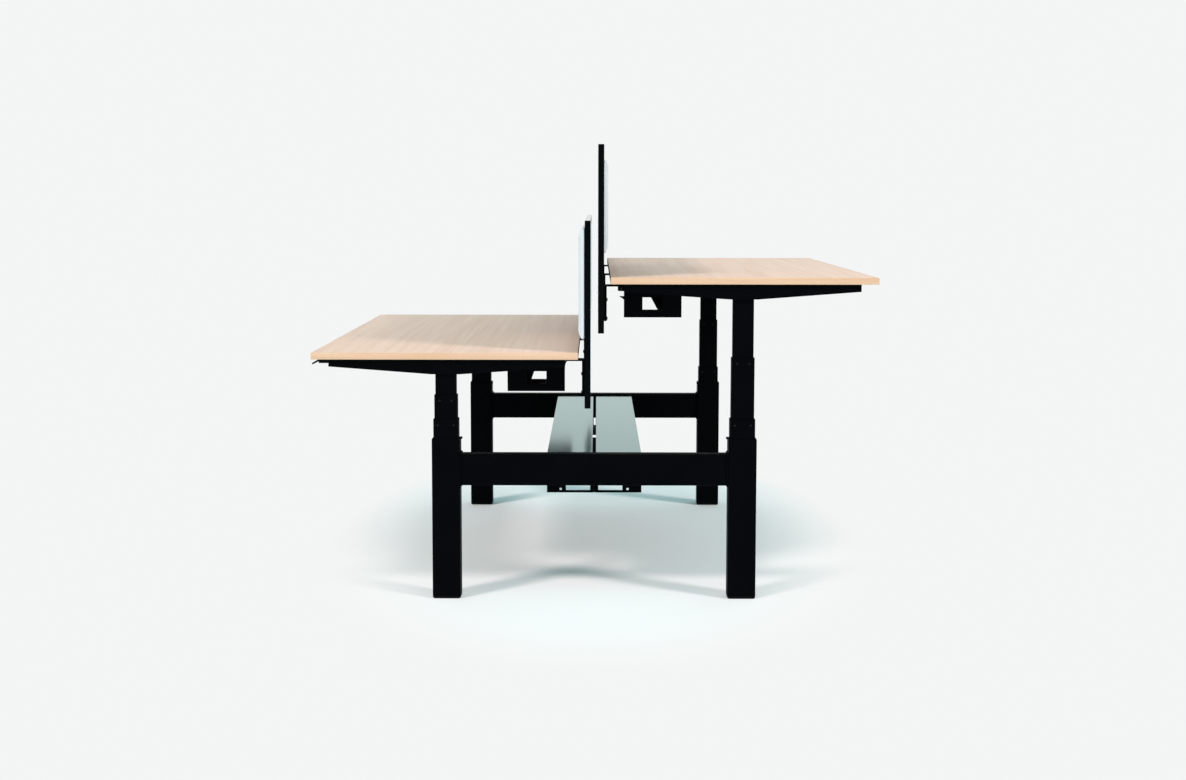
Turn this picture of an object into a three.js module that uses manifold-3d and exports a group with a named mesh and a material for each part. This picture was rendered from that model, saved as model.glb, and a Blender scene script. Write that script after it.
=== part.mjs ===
// Benching desk for two: two height-adjustable tops, back to back on one shared frame.
// Millimetres, +Z up, origin on the floor in the middle of the bench.
// X runs across the bench, Y along it; the left user sits at -X and the right user at +X.
// The near end is -Y and the far end +Y. The right desk is the left one turned half round.

import * as THREE from 'three';
import { mergeVertices } from 'three/addons/utils/BufferGeometryUtils.js';
import Module from 'manifold-3d';

const wasm = await Module();
wasm.setup();

// Tops and heights
const BENCH_LENGTH = 1400;
const TOP_DEPTH = 800;
const TOP_THICKNESS = 20;
const TOP_EDGE = 1;
const TOP_GAP = 97;
const LOWEST_HEIGHT = 650;
const LEFT_LIFT = 100;
const RIGHT_LIFT = 326;

// Gap between two pieces that touch
const FIT = 0.3;

// Lifting columns: a fixed sleeve and three tubes, each inside the last
const COLUMN_FROM_REAR = 398.5;
const COLUMN_INSET = 36.5;
const SLEEVE_WIDTH = 85;
const SLEEVE_DEPTH = 55;
const SLEEVE_WALL = 3;
const SLEEVE_PLAY = 1.75;
const TUBE_WALL = 2;
const TUBE_PLAY = 1.25;
const CORNER_RADIUS = 4;
const BORE_RADIUS = 2;
const RIM_HEIGHT = 8;
const COLLAR_HEIGHT = 24;
const OUTER_TUBE_SHOWN = 60;
const MIDDLE_STANDOFF = 23;
const INNER_STANDOFF = 13.7;
const MIDDLE_FLOOR_GAP = 50;
const INNER_FLOOR_GAP = 66;

// Feet under the sleeves
const FOOT_HEIGHT = 8;
const FOOT_CHAMFER = 3;
const FOOT_PLUG = 12;

// Motor, gearbox and screw inside each inner tube
const MOTOR_LENGTH = 120;
const MOTOR_TOP_GAP = 2;
const GEARBOX_RADIUS = 10;
const GEARBOX_LENGTH = 34;
const SCREW_RADIUS = 6;
const SCREW_END_GAP = 30;

// Cross beams between the sleeves of one end
const BEAM_HEIGHT = 96;
const BEAM_THICKNESS = 40;
const BEAM_WALL = 2.5;
const BEAM_DROP = 46;

// Cable trough between the beams
const SHEET = 2;
const TROUGH_WIDTH = 288;
const TROUGH_HEIGHT = 119;
const TROUGH_WALL_DROP = 12;
const TROUGH_OPENING_MARGIN = 24;
const TROUGH_OPENING_LENGTH = 150;
const TROUGH_OPENING_END = 9;
const TROUGH_STRIP = 25;
const TROUGH_SLOT_CENTRE = 377;
const TROUGH_SLOT_LENGTH = 64;
const TROUGH_SLOT_WIDTH = 120;
const END_PLATE = 3;
const END_WINDOW_INNER = 11.5;
const END_WINDOW_WIDTH = 74.5;
const END_WINDOW_SILL = 7;
const END_WINDOW_HEIGHT = 66;
const END_SLIT_WIDTH = 8;
const END_SLIT_HEIGHT = 80;
const END_HOLE_RADIUS = 4;
const END_HOLE_OFFSET = 42;
const END_HOLE_SILL = 10.5;
const SHELF_LENGTH = 18;
const SHELF_SETBACK = 8;

// Trough lids, hinged on pins near their outer edges
const LID_DROP = 6;
const LID_SLOT = 11;
const LID_OVERHANG = 0.5;
const LID_FLANGE = 5;
const LID_PIN_RADIUS = 2.5;
const LID_PIN_INSET = 6.5;
const LID_PIN_DROP = 8.5;
const LID_EAR_WIDTH = 6;
const LID_EAR_LENGTH = 8;

// Arms under the tops
const ARM_WIDTH = 50;
const ARM_WALL = 3;
const ARM_COLUMN_DEPTH = 45;
const ARM_FLAT = 84;
const ARM_FRONT_INSET = 51;
const ARM_FRONT_DEPTH = 22;
const ARM_REAR_INSET = 40;
const ARM_REAR_DEPTH = 24;

// Rails between the arms, and the control box between the rails
const RAIL_WIDTH = 40;
const RAIL_HEIGHT = 25;
const RAIL_WALL = 2;
const RAIL_GAP = 24.5;
const RAIL_SPACING = 230;
const CONTROL_BOX_LENGTH = 110;
const CONTROL_BOX_HEIGHT = 32;
const CONTROL_BOX_EDGE = 3;

// Cable tray under each top
const TRAY_FROM_REAR = 41;
const TRAY_WIDTH = 175;
const TRAY_DEPTH = 105;
const TRAY_END_INSET = 80;
const TRAY_REAR_WALL = 53;
const TRAY_WALL_SETBACK = 38;
const TRAY_FLANGE = 20;
const TRAY_WINDOW_SETBACK = 56.5;
const TRAY_WINDOW_WIDTH = 60;
const TRAY_WINDOW_SILL = 22;
const TRAY_WINDOW_HEIGHT = 39;
const TRAY_SLOT_LENGTH = 680;
const TRAY_SLOT_WIDTH = 55;
const TRAY_SLOT_SETBACK = 22;
const TRAY_EAR = 15;
const TRAY_EAR_HEIGHT = 15;
const TRAY_HOOK_DROP = 40;
const TRAY_HOOK_HEIGHT = 10;
const TRAY_SHOULDER = 13.5;
const TRAY_SHOULDER_HEIGHT = 30;

// Screens and the brackets that clamp them behind the tops
const SCREEN_THICKNESS = 18;
const SCREEN_FROM_CENTRE = 11;
const SCREEN_ABOVE = 395.5;
const SCREEN_BELOW = 147;
const SCREEN_EDGE = 1;
const SCREEN_CORNER = 1.5;
const BRACKET_INSET = 75;
const BRACKET_WIDTH = 40;
const BRACKET_SHEET = 8;
const BRACKET_STRAP = 5;
const BRACKET_SPACER = 4.5;
const BRACKET_SPACER_SETBACK = 4;
const BRACKET_BEND = 6;
const BRACKET_DROP = 114;
const BRACKET_TRAY_GAP = 3.5;

// Padded panels on the screens
const PAD_LENGTH = 570;
const PAD_THICKNESS = 19;
const PAD_EDGE = 3;
const PAD_CORNER = 14;
const PAD_ABOVE = 37;
const PAD_HEIGHT = 338;
const PAD_CROWN_POWER = 8;
const PAD_COLUMNS = 12;
const PAD_ROWS = 10;

// Handsets under the front edges
const HANDSET_LENGTH = 90;
const HANDSET_END_INSET = 50;
const HANDSET_HEIGHT = 16;
const HANDSET_ARM_GAP = 2.5;
const PADDLE_AXIS_INSET = 15;
const PADDLE_AXIS_DROP = 8;
const PADDLE_KNUCKLE = 4;
const PADDLE_PLATE = 5;
const PADDLE_REACH = 23;
const PADDLE_SLOPE = THREE.MathUtils.degToRad(-27);
const PADDLE_END_GAP = 1;

// Places worked out from the sizes above
const HALF_LENGTH = BENCH_LENGTH / 2;
const REAR = TOP_GAP / 2;
const FRONT = REAR + TOP_DEPTH;
const COLUMN_X = REAR + COLUMN_FROM_REAR;
const COLUMN_Y = HALF_LENGTH - COLUMN_INSET;

// Heights of a desk that stands at its lowest
const SURFACE = LOWEST_HEIGHT;
const UNDERSIDE = SURFACE - TOP_THICKNESS;
const UNDER = UNDERSIDE - FIT;
const ARM_BOTTOM = UNDER - ARM_COLUMN_DEPTH;
const INNER_TUBE_TOP = UNDER - ARM_WALL - FIT;
const MIDDLE_TUBE_TOP = ARM_BOTTOM - INNER_STANDOFF;
const OUTER_TUBE_TOP = MIDDLE_TUBE_TOP - MIDDLE_STANDOFF;
const OUTER_TUBE_BOTTOM = FOOT_HEIGHT + FOOT_PLUG + FIT;
const MIDDLE_TUBE_BOTTOM = OUTER_TUBE_BOTTOM + MIDDLE_FLOOR_GAP;
const INNER_TUBE_BOTTOM = OUTER_TUBE_BOTTOM + INNER_FLOOR_GAP;

// Heights of the fixed frame
const SLEEVE_TOP = OUTER_TUBE_TOP - OUTER_TUBE_SHOWN;
const BEAM_TOP = SLEEVE_TOP - BEAM_DROP;
const LID_TOP = BEAM_TOP - LID_DROP;
const TROUGH_BOTTOM = LID_TOP - TROUGH_HEIGHT;

// Column sections, from the sleeve inwards
const sleeve = { width: SLEEVE_WIDTH, depth: SLEEVE_DEPTH };
const sleeveBore = grown(sleeve, -SLEEVE_WALL);
const outerTube = grown(sleeveBore, -SLEEVE_PLAY);
const outerBore = grown(outerTube, -TUBE_WALL);
const middleTube = grown(outerBore, -TUBE_PLAY);
const middleBore = grown(middleTube, -TUBE_WALL);
const innerTube = grown(middleBore, -TUBE_PLAY);
const innerBore = grown(innerTube, -TUBE_WALL);

// Finishes seen on the object
const BLACK_METAL = { color: 0x111316, roughness: 0.5, metalness: 0.2 };
const BLACK_SATIN = { color: 0x15181a, roughness: 0.25, metalness: 0.2 };
const BLACK_PLASTIC = { color: 0x17181a, roughness: 0.6, metalness: 0 };
const BEECH_BOARD = { color: 0xe6cbab, roughness: 0.5, metalness: 0 };
const BLACK_BOARD = { color: 0x131416, roughness: 0.55, metalness: 0 };
const PALE_FABRIC = { color: 0xdfe7ea, roughness: 0.95, metalness: 0 };
const STEEL = { color: 0x8d9194, roughness: 0.35, metalness: 0.9 };

// Shape helpers

function grown(section, by) {
  return { width: section.width + 2 * by, depth: section.depth + 2 * by };
}

function roundedRect(width, height, radius) {
  const x = width / 2 - radius;
  const y = height / 2 - radius;
  const shape = new THREE.Shape();
  shape.absarc(x, y, radius, 0, Math.PI / 2);
  shape.absarc(-x, y, radius, Math.PI / 2, Math.PI);
  shape.absarc(-x, -y, radius, Math.PI, Math.PI * 1.5);
  shape.absarc(x, -y, radius, Math.PI * 1.5, Math.PI * 2);
  return shape;
}

// Two coordinates, the lower one first.
function span(a, b) {
  return [Math.min(a, b), Math.max(a, b)];
}

function outline(points) {
  return new THREE.Shape(points.map(([x, y]) => new THREE.Vector2(x, y)));
}

function box(x0, x1, y0, y1, z0, z1) {
  const geometry = new THREE.BoxGeometry(x1 - x0, y1 - y0, z1 - z0);
  return geometry.translate((x0 + x1) / 2, (y0 + y1) / 2, (z0 + z1) / 2);
}

// A shape drawn in X and Y, raised from z0 to z1.
function prismZ(shape, z0, z1, curveSegments = 2) {
  const options = { depth: z1 - z0, bevelEnabled: false, curveSegments };
  return new THREE.ExtrudeGeometry(shape, options).translate(0, 0, z0);
}

// A shape drawn in X and Z, stretched from y0 to y1.
function prismY(shape, y0, y1, curveSegments = 2) {
  return prismZ(shape, 0, y1 - y0, curveSegments).rotateX(Math.PI / 2).translate(0, y1, 0);
}

// A shape drawn in Y and Z, stretched from x0 to x1.
function prismX(shape, x0, x1) {
  return prismZ(shape, 0, x1 - x0).rotateX(Math.PI / 2).rotateZ(Math.PI / 2).translate(x0, 0, 0);
}

// A slab from z = 0 up, with its outline's edges broken all round.
function slab(width, height, corner, thickness, edge) {
  const shape = roundedRect(width - 2 * edge, height - 2 * edge, corner);
  const bevel = { bevelSize: edge, bevelThickness: edge, bevelSegments: 1 };
  const options = { depth: thickness - 2 * edge, curveSegments: 2, ...bevel };
  return new THREE.ExtrudeGeometry(shape, options).translate(0, 0, edge);
}

// A round bar along Y.
function barY(radius, x, z, y0, y1) {
  const bar = new THREE.CylinderGeometry(radius, radius, y1 - y0, 16);
  return bar.translate(x, (y0 + y1) / 2, z);
}

function solidOf(geometry) {
  const bare = geometry.clone();
  bare.deleteAttribute('normal');
  bare.deleteAttribute('uv');
  const welded = mergeVertices(bare, 1e-4);
  const vertProperties = new Float32Array(welded.attributes.position.array);
  const triVerts = new Uint32Array(welded.index.array);
  return new wasm.Manifold(new wasm.Mesh({ numProp: 3, vertProperties, triVerts }));
}

function geometryOf(solid) {
  const mesh = solid.getMesh();
  const geometry = new THREE.BufferGeometry();
  geometry.setAttribute('position', new THREE.BufferAttribute(mesh.vertProperties, 3));
  geometry.setIndex(new THREE.BufferAttribute(mesh.triVerts, 1));
  geometry.computeVertexNormals();
  return geometry;
}

function joined(...geometries) {
  return geometryOf(geometries.map(solidOf).reduce((all, next) => all.add(next)));
}

function cut(geometry, ...cutters) {
  return geometryOf(cutters.map(solidOf).reduce((all, next) => all.subtract(next), solidOf(geometry)));
}

function part(name, geometry, finish) {
  const mesh = new THREE.Mesh(geometry, new THREE.MeshStandardMaterial(finish));
  mesh.name = name;
  return mesh;
}

// Columns

function sectionPrism(section, radius, z0, z1) {
  return prismZ(roundedRect(section.width, section.depth, radius), z0, z1);
}

// A tube whose bore narrows at the top to guide the tube inside it.
function guideTube(section, bore, guided, z0, z1) {
  const body = sectionPrism(section, CORNER_RADIUS, z0, z1);
  const hollow = sectionPrism(bore, BORE_RADIUS, z0 - 1, z1 - RIM_HEIGHT);
  const mouth = sectionPrism(grown(guided, FIT), CORNER_RADIUS, z1 - RIM_HEIGHT - 1, z1 + 1);
  return cut(body, hollow, mouth);
}

// The sliding collar at a tube's lower end, which runs in the bore around it.
function slidingCollar(runsIn, bore, z0) {
  const ring = sectionPrism(grown(runsIn, -FIT), BORE_RADIUS, z0, z0 + COLLAR_HEIGHT);
  return cut(ring, sectionPrism(bore, BORE_RADIUS, z0 - 1, z0 + COLLAR_HEIGHT + 1));
}

function footGeometry() {
  const blank = slab(sleeve.width, sleeve.depth, CORNER_RADIUS, 2 * FOOT_HEIGHT, FOOT_CHAMFER);
  const reach = sleeve.width;
  const above = box(-reach, reach, -reach, reach, FOOT_HEIGHT, 3 * FOOT_HEIGHT);
  const plugTop = FOOT_HEIGHT + FOOT_PLUG;
  const plug = sectionPrism(grown(sleeveBore, -FIT), BORE_RADIUS, FOOT_HEIGHT - FOOT_CHAMFER, plugTop);
  return joined(cut(blank, above), plug);
}

function driveGeometry() {
  const motorRadius = innerBore.depth / 2 - FIT;
  const motorTop = INNER_TUBE_TOP - MOTOR_TOP_GAP;
  const motorBottom = motorTop - MOTOR_LENGTH;
  const gearboxBottom = motorBottom - GEARBOX_LENGTH;
  const screwBottom = INNER_TUBE_BOTTOM + SCREW_END_GAP;
  const profile = [
    [0, screwBottom],
    [SCREW_RADIUS, screwBottom],
    [SCREW_RADIUS, gearboxBottom],
    [GEARBOX_RADIUS, gearboxBottom],
    [GEARBOX_RADIUS, motorBottom],
    [motorRadius, motorBottom],
    [motorRadius, motorTop],
    [0, motorTop],
  ];
  const points = profile.map(([r, z]) => new THREE.Vector2(r, z));
  return new THREE.LatheGeometry(points, 16).rotateX(Math.PI / 2);
}

const sleeveGeometry = guideTube(sleeve, sleeveBore, outerTube, FOOT_HEIGHT + FIT, SLEEVE_TOP);
const outerTubeGeometry = guideTube(outerTube, outerBore, middleTube, OUTER_TUBE_BOTTOM, OUTER_TUBE_TOP);
const middleTubeGeometry = joined(
  guideTube(middleTube, middleBore, innerTube, MIDDLE_TUBE_BOTTOM, MIDDLE_TUBE_TOP),
  slidingCollar(outerBore, middleBore, MIDDLE_TUBE_BOTTOM),
);
const innerTubeGeometry = joined(
  cut(
    sectionPrism(innerTube, CORNER_RADIUS, INNER_TUBE_BOTTOM, INNER_TUBE_TOP),
    sectionPrism(innerBore, BORE_RADIUS, INNER_TUBE_BOTTOM - 1, INNER_TUBE_TOP + 1),
  ),
  slidingCollar(middleBore, innerBore, INNER_TUBE_BOTTOM),
);

// Fixed frame

function beamGeometry() {
  const shape = roundedRect(BEAM_THICKNESS, BEAM_HEIGHT, CORNER_RADIUS);
  const bore = roundedRect(BEAM_THICKNESS - 2 * BEAM_WALL, BEAM_HEIGHT - 2 * BEAM_WALL, BORE_RADIUS);
  shape.holes.push(bore);
  const reach = COLUMN_X - SLEEVE_WIDTH / 2 - FIT;
  return prismX(shape, -reach, reach).translate(0, 0, BEAM_TOP - BEAM_HEIGHT / 2);
}

const TROUGH_EDGE = TROUGH_WIDTH / 2;
const END_PLATE_OUTER = COLUMN_Y - BEAM_THICKNESS / 2 - FIT;
const END_PLATE_INNER = END_PLATE_OUTER - END_PLATE;
const TROUGH_END = END_PLATE_INNER - FIT;
const LID_EDGE = TROUGH_EDGE - LID_OVERHANG;
const LID_PIN_X = LID_EDGE - LID_PIN_INSET;
const LID_PIN_Z = LID_TOP - LID_PIN_DROP;

function troughGeometry() {
  const wallTop = LID_TOP - TROUGH_WALL_DROP;
  const blank = box(-TROUGH_EDGE, TROUGH_EDGE, -TROUGH_END, TROUGH_END, TROUGH_BOTTOM, wallTop);
  const inner = TROUGH_EDGE - SHEET;
  const floorTop = TROUGH_BOTTOM + SHEET;
  const hollow = box(-inner, inner, -TROUGH_END - 1, TROUGH_END + 1, floorTop, wallTop + 1);
  const openings = [];
  const openX = TROUGH_EDGE - TROUGH_OPENING_MARGIN;
  const openEnd = TROUGH_END - TROUGH_OPENING_END;
  const slotX = TROUGH_SLOT_WIDTH / 2;
  const below = TROUGH_BOTTOM - 1;
  const above = floorTop + 1;
  for (const end of [-1, 1]) {
    const [y0, y1] = span(end * openEnd, end * (openEnd - TROUGH_OPENING_LENGTH));
    for (const side of [-1, 1]) {
      const [x0, x1] = span((side * TROUGH_STRIP) / 2, side * openX);
      openings.push(box(x0, x1, y0, y1, below, above));
    }
    const slotY = end * TROUGH_SLOT_CENTRE;
    const half = TROUGH_SLOT_LENGTH / 2;
    openings.push(box(-slotX, slotX, slotY - half, slotY + half, below, above));
  }
  return cut(blank, hollow, ...openings);
}

// The far end plate: a sheet against the beam with a shelf for the lids' ends.
function endPlateGeometry() {
  const top = LID_TOP - SHEET - FIT;
  const y0 = END_PLATE_INNER;
  const y1 = END_PLATE_OUTER;
  const sheet = box(-TROUGH_EDGE, TROUGH_EDGE, y0, y1, TROUGH_BOTTOM, top);
  const shelfEdge = LID_PIN_X - LID_EAR_WIDTH / 2 - SHELF_SETBACK;
  const shelfInner = LID_SLOT / 2 + SHEET + SHELF_SETBACK;
  const shelf = (side) => {
    const [x0, x1] = span(side * shelfInner, side * shelfEdge);
    return box(x0, x1, y0 - SHELF_LENGTH, y0 + END_PLATE / 2, top - SHEET, top);
  };
  const sill = TROUGH_BOTTOM + END_WINDOW_SILL;
  const slit = END_SLIT_WIDTH / 2;
  const slitTop = TROUGH_BOTTOM + END_SLIT_HEIGHT;
  const cuts = [box(-slit, slit, y0 - 1, y1 + 1, TROUGH_BOTTOM - 1, slitTop)];
  for (const side of [-1, 1]) {
    const [x0, x1] = span(side * END_WINDOW_INNER, side * (END_WINDOW_INNER + END_WINDOW_WIDTH));
    const holeX = side * (TROUGH_EDGE - END_HOLE_OFFSET);
    cuts.push(box(x0, x1, y0 - 1, y1 + 1, sill, sill + END_WINDOW_HEIGHT));
    cuts.push(barY(END_HOLE_RADIUS, holeX, TROUGH_BOTTOM + END_HOLE_SILL, y0 - 1, y1 + 1));
    cuts.push(barY(LID_PIN_RADIUS + FIT, side * LID_PIN_X, LID_PIN_Z, y0 - 1, y1 + 1));
  }
  return cut(joined(sheet, shelf(-1), shelf(1)), ...cuts);
}

// The right lid: a sheet with turned-down edges, and ears that carry its two pins.
function lidGeometry() {
  const inner = LID_SLOT / 2;
  const flangeBottom = LID_TOP - LID_FLANGE;
  const sheetBottom = LID_TOP - SHEET;
  const section = outline([
    [inner, flangeBottom],
    [inner + SHEET, flangeBottom],
    [inner + SHEET, sheetBottom],
    [LID_EDGE - SHEET, sheetBottom],
    [LID_EDGE - SHEET, flangeBottom],
    [LID_EDGE, flangeBottom],
    [LID_EDGE, LID_TOP],
    [inner, LID_TOP],
  ]);
  const pieces = [prismY(section, -TROUGH_END, TROUGH_END)];
  const earX = LID_EAR_WIDTH / 2;
  const earBottom = LID_PIN_Z - LID_PIN_RADIUS;
  for (const end of [-1, 1]) {
    const [y0, y1] = span(end * TROUGH_END, end * (TROUGH_END - LID_EAR_LENGTH));
    pieces.push(box(LID_PIN_X - earX, LID_PIN_X + earX, y0, y1, earBottom, sheetBottom + SHEET / 2));
    const [pin0, pin1] = span(end * END_PLATE_OUTER, end * (TROUGH_END - LID_EAR_LENGTH / 2));
    pieces.push(barY(LID_PIN_RADIUS, LID_PIN_X, LID_PIN_Z, pin0, pin1));
  }
  return joined(...pieces);
}

// Desk pieces, drawn for the right desk at its lowest: its user is at +X

function armGeometry() {
  const rear = REAR + ARM_REAR_INSET;
  const front = FRONT - ARM_FRONT_INSET;
  const side = outline([
    [rear, UNDER],
    [rear, UNDER - ARM_REAR_DEPTH],
    [COLUMN_X - ARM_FLAT / 2, ARM_BOTTOM],
    [COLUMN_X + ARM_FLAT / 2, ARM_BOTTOM],
    [front, UNDER - ARM_FRONT_DEPTH],
    [front, UNDER],
  ]);
  const half = ARM_WIDTH / 2;
  const inside = half - ARM_WALL;
  const web = UNDER - ARM_WALL;
  const pocket = box(rear + ARM_WALL, front - ARM_WALL, -inside, inside, ARM_BOTTOM - 1, web);
  return cut(prismY(side, -half, half), pocket);
}

const TRAY_REAR = REAR + TRAY_FROM_REAR;
const TRAY_FRONT = TRAY_REAR + TRAY_WIDTH;
const TRAY_BOTTOM = UNDERSIDE - TRAY_DEPTH;
const TRAY_END = HALF_LENGTH - TRAY_END_INSET;
const REAR_RAIL_X = TRAY_FRONT + TRAY_FLANGE + RAIL_GAP + RAIL_WIDTH / 2;
const FRONT_RAIL_X = REAR_RAIL_X + RAIL_SPACING;
const SCREEN_FACE = SCREEN_FROM_CENTRE + SCREEN_THICKNESS;
const STRAP_TOP = UNDER - BRACKET_SPACER;
const STRAP_BOTTOM = STRAP_TOP - BRACKET_STRAP;

function railGeometry() {
  const shape = roundedRect(RAIL_WIDTH, RAIL_HEIGHT, CORNER_RADIUS);
  shape.holes.push(roundedRect(RAIL_WIDTH - 2 * RAIL_WALL, RAIL_HEIGHT - 2 * RAIL_WALL, BORE_RADIUS));
  const reach = COLUMN_Y - ARM_WIDTH / 2 - FIT;
  return prismY(shape, -reach, reach).translate(0, 0, UNDER - RAIL_HEIGHT / 2);
}

function controlBoxGeometry() {
  const width = RAIL_SPACING - RAIL_WIDTH - 2 * FIT;
  const middle = (REAR_RAIL_X + FRONT_RAIL_X) / 2;
  const block = slab(width, CONTROL_BOX_LENGTH, CONTROL_BOX_EDGE, CONTROL_BOX_HEIGHT, CONTROL_BOX_EDGE);
  return block.translate(middle, 0, UNDER - CONTROL_BOX_HEIGHT);
}

// A folded tray hung under the top: a high front wall with a flange, a low rear wall, two end plates.
// The end plates stand out to the rear past the low wall.
function trayGeometry() {
  const floorTop = TRAY_BOTTOM + SHEET;
  const wallRear = TRAY_REAR + TRAY_WALL_SETBACK;
  const section = outline([
    [wallRear, TRAY_BOTTOM],
    [TRAY_FRONT, TRAY_BOTTOM],
    [TRAY_FRONT, UNDER - SHEET],
    [TRAY_FRONT + TRAY_FLANGE, UNDER - SHEET],
    [TRAY_FRONT + TRAY_FLANGE, UNDER],
    [TRAY_FRONT - SHEET, UNDER],
    [TRAY_FRONT - SHEET, floorTop],
    [wallRear + SHEET, floorTop],
    [wallRear + SHEET, TRAY_BOTTOM + TRAY_REAR_WALL],
    [wallRear, TRAY_BOTTOM + TRAY_REAR_WALL],
  ]);
  const channel = prismY(section, -TRAY_END, TRAY_END);
  const earTop = STRAP_BOTTOM - FIT;
  const hookTop = UNDER - TRAY_HOOK_DROP;
  const latchEnd = outline([
    [TRAY_REAR, TRAY_BOTTOM],
    [TRAY_FRONT, TRAY_BOTTOM],
    [TRAY_FRONT, UNDER],
    [TRAY_REAR, UNDER],
    [TRAY_REAR, earTop],
    [TRAY_REAR - TRAY_EAR, earTop],
    [TRAY_REAR - TRAY_EAR, earTop - TRAY_EAR_HEIGHT],
    [TRAY_REAR, earTop - TRAY_EAR_HEIGHT],
    [TRAY_REAR, hookTop],
    [TRAY_REAR - TRAY_EAR, hookTop],
    [TRAY_REAR, hookTop - TRAY_HOOK_HEIGHT],
  ]);
  const shoulderEnd = new THREE.Shape();
  shoulderEnd.moveTo(TRAY_REAR, TRAY_BOTTOM);
  shoulderEnd.lineTo(TRAY_FRONT, TRAY_BOTTOM);
  shoulderEnd.lineTo(TRAY_FRONT, UNDER);
  shoulderEnd.lineTo(TRAY_REAR, UNDER);
  shoulderEnd.lineTo(TRAY_REAR, earTop);
  shoulderEnd.lineTo(TRAY_REAR - TRAY_SHOULDER, earTop);
  shoulderEnd.quadraticCurveTo(TRAY_REAR, earTop, TRAY_REAR, earTop - TRAY_SHOULDER_HEIGHT);
  const cuts = [];
  const windowRear = TRAY_REAR + TRAY_WINDOW_SETBACK;
  const sill = TRAY_BOTTOM + TRAY_WINDOW_SILL;
  const windowFront = windowRear + TRAY_WINDOW_WIDTH;
  for (const end of [-1, 1]) {
    const [y0, y1] = span(end * (TRAY_END - 2 * SHEET), end * (TRAY_END + SHEET));
    cuts.push(box(windowRear, windowFront, y0, y1, sill, sill + TRAY_WINDOW_HEIGHT));
  }
  const slotRear = wallRear + TRAY_SLOT_SETBACK;
  const slotReach = TRAY_SLOT_LENGTH / 2;
  const slotFront = slotRear + TRAY_SLOT_WIDTH;
  cuts.push(box(slotRear, slotFront, -slotReach, slotReach, TRAY_BOTTOM - 1, floorTop + 1));
  const latchPlate = prismY(latchEnd, -TRAY_END, -TRAY_END + SHEET);
  const shoulderPlate = prismY(shoulderEnd, TRAY_END - SHEET, TRAY_END, 6);
  return cut(joined(channel, latchPlate, shoulderPlate), ...cuts);
}

function screenGeometry() {
  const height = SCREEN_ABOVE + TOP_THICKNESS + SCREEN_BELOW;
  const bottom = UNDERSIDE - SCREEN_BELOW;
  const panel = slab(BENCH_LENGTH, height, SCREEN_CORNER, SCREEN_THICKNESS, SCREEN_EDGE);
  panel.rotateX(Math.PI / 2).rotateZ(Math.PI / 2);
  return panel.translate(SCREEN_FROM_CENTRE, 0, bottom + height / 2);
}

// A strap under the top's rear edge, held off it by a spacer and bent down along the screen's face.
function bracketGeometry() {
  const face = SCREEN_FACE + FIT;
  const bottom = UNDER - BRACKET_DROP;
  const strapEnd = TRAY_REAR - BRACKET_TRAY_GAP;
  const spacerRear = REAR + BRACKET_SPACER_SETBACK;
  const section = new THREE.Shape();
  section.moveTo(face, bottom);
  section.lineTo(face + BRACKET_SHEET, bottom);
  section.lineTo(face + BRACKET_SHEET, STRAP_BOTTOM);
  section.lineTo(strapEnd, STRAP_BOTTOM);
  section.lineTo(strapEnd, UNDER);
  section.lineTo(spacerRear, UNDER);
  section.lineTo(spacerRear, STRAP_TOP);
  section.lineTo(face + BRACKET_BEND, STRAP_TOP);
  section.quadraticCurveTo(face, STRAP_TOP, face, STRAP_TOP - BRACKET_BEND);
  return prismY(section, -BRACKET_WIDTH / 2, BRACKET_WIDTH / 2, 4);
}

// A padded panel: flat behind, and crowned in front so that it falls away to its rounded rim.
function padGeometry() {
  const pad = new THREE.BoxGeometry(2, 2, 2, 1, PAD_COLUMNS, PAD_ROWS);
  const place = pad.attributes.position;
  const swell = (t) => Math.sqrt(Math.max(0, 1 - Math.abs(t) ** PAD_CROWN_POWER));
  const spread = (t) => Math.sin((t * Math.PI) / 2);
  const cornerY = 1 - PAD_CORNER / PAD_LENGTH;
  const cornerZ = 1 - PAD_CORNER / PAD_HEIGHT;
  for (let i = 0; i < place.count; i += 1) {
    const y = spread(place.getY(i));
    const z = spread(place.getZ(i));
    const onCorner = Math.abs(y) > 1 - 1e-6 && Math.abs(z) > 1 - 1e-6;
    const bulge = PAD_EDGE + (PAD_THICKNESS - PAD_EDGE) * swell(y) * swell(z);
    const x = place.getX(i) > 0 ? bulge : 0;
    const [fitY, fitZ] = onCorner ? [cornerY, cornerZ] : [1, 1];
    place.setXYZ(i, x, (y * fitY * PAD_LENGTH) / 2, (z * fitZ * PAD_HEIGHT) / 2);
  }
  const bottom = SURFACE + PAD_ABOVE;
  pad.translate(SCREEN_FACE + FIT, HALF_LENGTH - PAD_LENGTH / 2, bottom + PAD_HEIGHT / 2);
  return geometryOf(solidOf(pad));
}

const PADDLE_X = FRONT - PADDLE_AXIS_INSET;
const PADDLE_Z = UNDER - PADDLE_AXIS_DROP;
const HANDSET_Y1 = HALF_LENGTH - HANDSET_END_INSET;
const HANDSET_Y0 = HANDSET_Y1 - HANDSET_LENGTH;

function handsetBodyGeometry() {
  const rear = FRONT - ARM_FRONT_INSET + HANDSET_ARM_GAP;
  const block = box(rear, PADDLE_X, HANDSET_Y0, HANDSET_Y1, UNDER - HANDSET_HEIGHT, UNDER);
  const groove = barY(PADDLE_KNUCKLE + FIT, PADDLE_X, PADDLE_Z, HANDSET_Y0 - 1, HANDSET_Y1 + 1);
  return cut(block, groove);
}

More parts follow.
